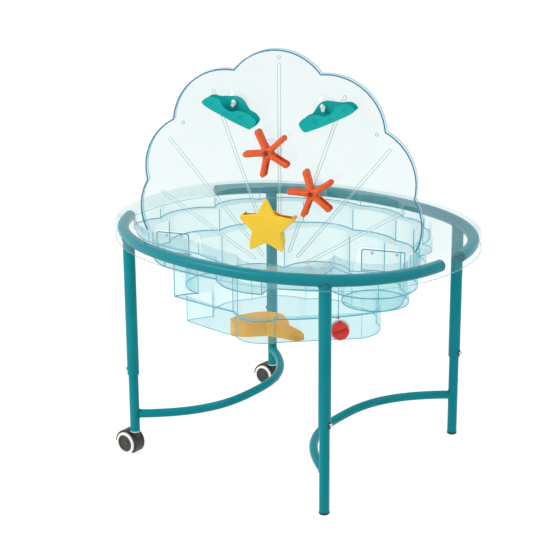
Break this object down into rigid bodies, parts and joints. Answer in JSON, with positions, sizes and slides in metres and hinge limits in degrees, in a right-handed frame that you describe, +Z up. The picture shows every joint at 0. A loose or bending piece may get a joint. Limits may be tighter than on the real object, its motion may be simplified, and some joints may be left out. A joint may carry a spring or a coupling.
{
  "type": "sand and water table",
  "caption": "Clear stepped basin on a height-adjustable tube frame with casters, a scalloped clear panel carrying chutes, starfish wheels and a tipping star bucket, and a capped drain.",
  "frame": {"origin": "on the floor, directly below the middle of the basin's rim", "axes": "+Z up; +X along the rim's long axis towards the end with the plain feet and the round bowl pocket; -Y towards the panel's toy side (the front)"},
  "size_m": [1.001, 0.825, 1.1123],
  "materials": {
    "clear_plastic": "clear, faint blue-green tint, polished",
    "teal_paint": "semi-gloss powder coat on steel tube",
    "black_plastic": "fine satin",
    "screw_steel": "plated",
    "cream_tread": "smooth off-white rubber",
    "grey_plastic": "dark grey moulding",
    "white_plastic": "white moulding",
    "rubber_seal": "seal",
    "red_plastic": "red moulding",
    "orange_plastic": "pebbled orange moulding",
    "yellow_plastic": "yellow moulding",
    "teal_plastic": "turquoise moulding",
    "amber_plastic": "amber moulding"
  },
  "bodies": {
    "table": {"tub": "clear_plastic", "drain_body": "white_plastic", "drain_gasket": "rubber_seal", "drain_nut": "white_plastic", "tether_button": "red_plastic", "ring_front": "teal_paint", "ring_rear": "teal_paint", "ring_plug_front_left": "black_plastic", "ring_plug_front_right": "black_plastic", "ring_plug_rear_left": "black_plastic", "ring_plug_rear_right": "black_plastic", "upper_leg_front": "teal_paint", "upper_leg_left": "teal_paint", "upper_leg_right": "teal_paint", "upper_leg_back": "teal_paint", "height_screw_front": "screw_steel", "height_screw_left": "screw_steel", "height_screw_right": "screw_steel", "height_screw_back": "screw_steel", "panel": "clear_plastic", "panel_bracket_left": "clear_plastic", "panel_bracket_right": "clear_plastic", "bracket_screw_left_1": "screw_steel", "bracket_screw_left_2": "screw_steel", "bracket_screw_right_1": "screw_steel", "bracket_screw_right_2": "screw_steel", "suction_cup_chute_left": "clear_plastic", "suction_cup_chute_right": "clear_plastic", "suction_cup_starfish_upper": "clear_plastic", "suction_cup_starfish_lower": "clear_plastic", "suction_cup_star_bucket": "clear_plastic"},
    "left_leg_frame": {"lower_leg_left": "teal_paint", "lower_leg_back": "teal_paint", "brace_left": "teal_paint", "caster_bush_left": "white_plastic", "caster_bush_back": "white_plastic"},
    "right_leg_frame": {"lower_leg_front": "teal_paint", "lower_leg_right": "teal_paint", "brace_right": "teal_paint", "foot_plug_front": "black_plastic", "foot_plug_right": "black_plastic"},
    "caster_left": {"caster_hood_left": "black_plastic", "caster_axle_left": "screw_steel"},
    "caster_back": {"caster_hood_back": "black_plastic", "caster_axle_back": "screw_steel"},
    "drain_cap": {"drain_cap": "red_plastic"},
    "starfish_upper": {"starfish_upper": "orange_plastic"},
    "starfish_lower": {"starfish_lower": "orange_plastic"},
    "star_bucket": {"star_bucket": "yellow_plastic"},
    "chute_left": {"chute_left": "teal_plastic"},
    "chute_right": {"chute_right": "teal_plastic"},
    "fish_block": {"fish_block": "amber_plastic"},
    "wheel_left_outer": {"wheel_tread_left_outer": "cream_tread", "wheel_hub_left_outer": "grey_plastic"},
    "wheel_left_inner": {"wheel_tread_left_inner": "cream_tread", "wheel_hub_left_inner": "grey_plastic"},
    "wheel_back_outer": {"wheel_tread_back_outer": "cream_tread", "wheel_hub_back_outer": "grey_plastic"},
    "wheel_back_inner": {"wheel_tread_back_inner": "cream_tread", "wheel_hub_back_inner": "grey_plastic"}
  },
  "joints": [
    {"name": "left_leg_height", "type": "slide", "parent": "table", "child": "left_leg_frame", "axis": [0, 0, 1], "range_m": [0, 0.085]},
    {"name": "right_leg_height", "type": "slide", "parent": "table", "child": "right_leg_frame", "axis": [0, 0, 1], "range_m": [0, 0.085]},
    {"name": "caster_swivel_left", "type": "hinge", "parent": "left_leg_frame", "child": "caster_left", "pos_m": [-0.316, -0.31343, 0.06], "axis": [0, 0, 1], "continuous": true},
    {"name": "wheel_spin_left_outer", "type": "hinge", "parent": "caster_left", "child": "wheel_left_outer", "pos_m": [-0.336, -0.32788, 0.031], "axis": [0, 1, 0], "continuous": true},
    {"name": "wheel_spin_left_inner", "type": "hinge", "parent": "caster_left", "child": "wheel_left_inner", "pos_m": [-0.336, -0.29898, 0.031], "axis": [0, 1, 0], "continuous": true},
    {"name": "caster_swivel_back", "type": "hinge", "parent": "left_leg_frame", "child": "caster_back", "pos_m": [-0.316, 0.31343, 0.06], "axis": [0, 0, 1], "continuous": true},
    {"name": "wheel_spin_back_outer", "type": "hinge", "parent": "caster_back", "child": "wheel_back_outer", "pos_m": [-0.336, 0.29898, 0.031], "axis": [0, 1, 0], "continuous": true},
    {"name": "wheel_spin_back_inner", "type": "hinge", "parent": "caster_back", "child": "wheel_back_inner", "pos_m": [-0.336, 0.32788, 0.031], "axis": [0, 1, 0], "continuous": true},
    {"name": "drain_cap_turn", "type": "hinge", "parent": "table", "child": "drain_cap", "pos_m": [0.19581, -0.07264, 0.3935], "axis": [0.694, -0.72, 0], "range_deg": [0, 450]},
    {"name": "starfish_upper_spin", "type": "hinge", "parent": "table", "child": "starfish_upper", "pos_m": [-0.00595, -0.11301, 0.8507], "axis": [0.3256, -0.9455, 0], "continuous": true},
    {"name": "starfish_lower_spin", "type": "hinge", "parent": "table", "child": "starfish_lower", "pos_m": [0.10685, -0.07417, 0.7506], "axis": [0.3256, -0.9455, 0], "continuous": true},
    {"name": "star_bucket_tip", "type": "hinge", "parent": "table", "child": "star_bucket", "pos_m": [-0.0034, -0.11213, 0.658], "axis": [0.3256, -0.9455, 0], "continuous": true},
    {"name": "chute_left_tilt", "type": "hinge", "parent": "table", "child": "chute_left", "pos_m": [-0.09512, -0.14583, 0.972], "axis": [0.3256, -0.9455, 0], "range_deg": [-45, 45]},
    {"name": "chute_right_tilt", "type": "hinge", "parent": "table", "child": "chute_right", "pos_m": [0.13133, -0.06785, 0.9735], "axis": [0.3256, -0.9455, 0], "range_deg": [-45, 45]},
    {"name": "fish_block_lift", "type": "slide", "parent": "table", "child": "fish_block", "axis": [0, 0, 1], "range_m": [0, 0.11]}
  ]
}
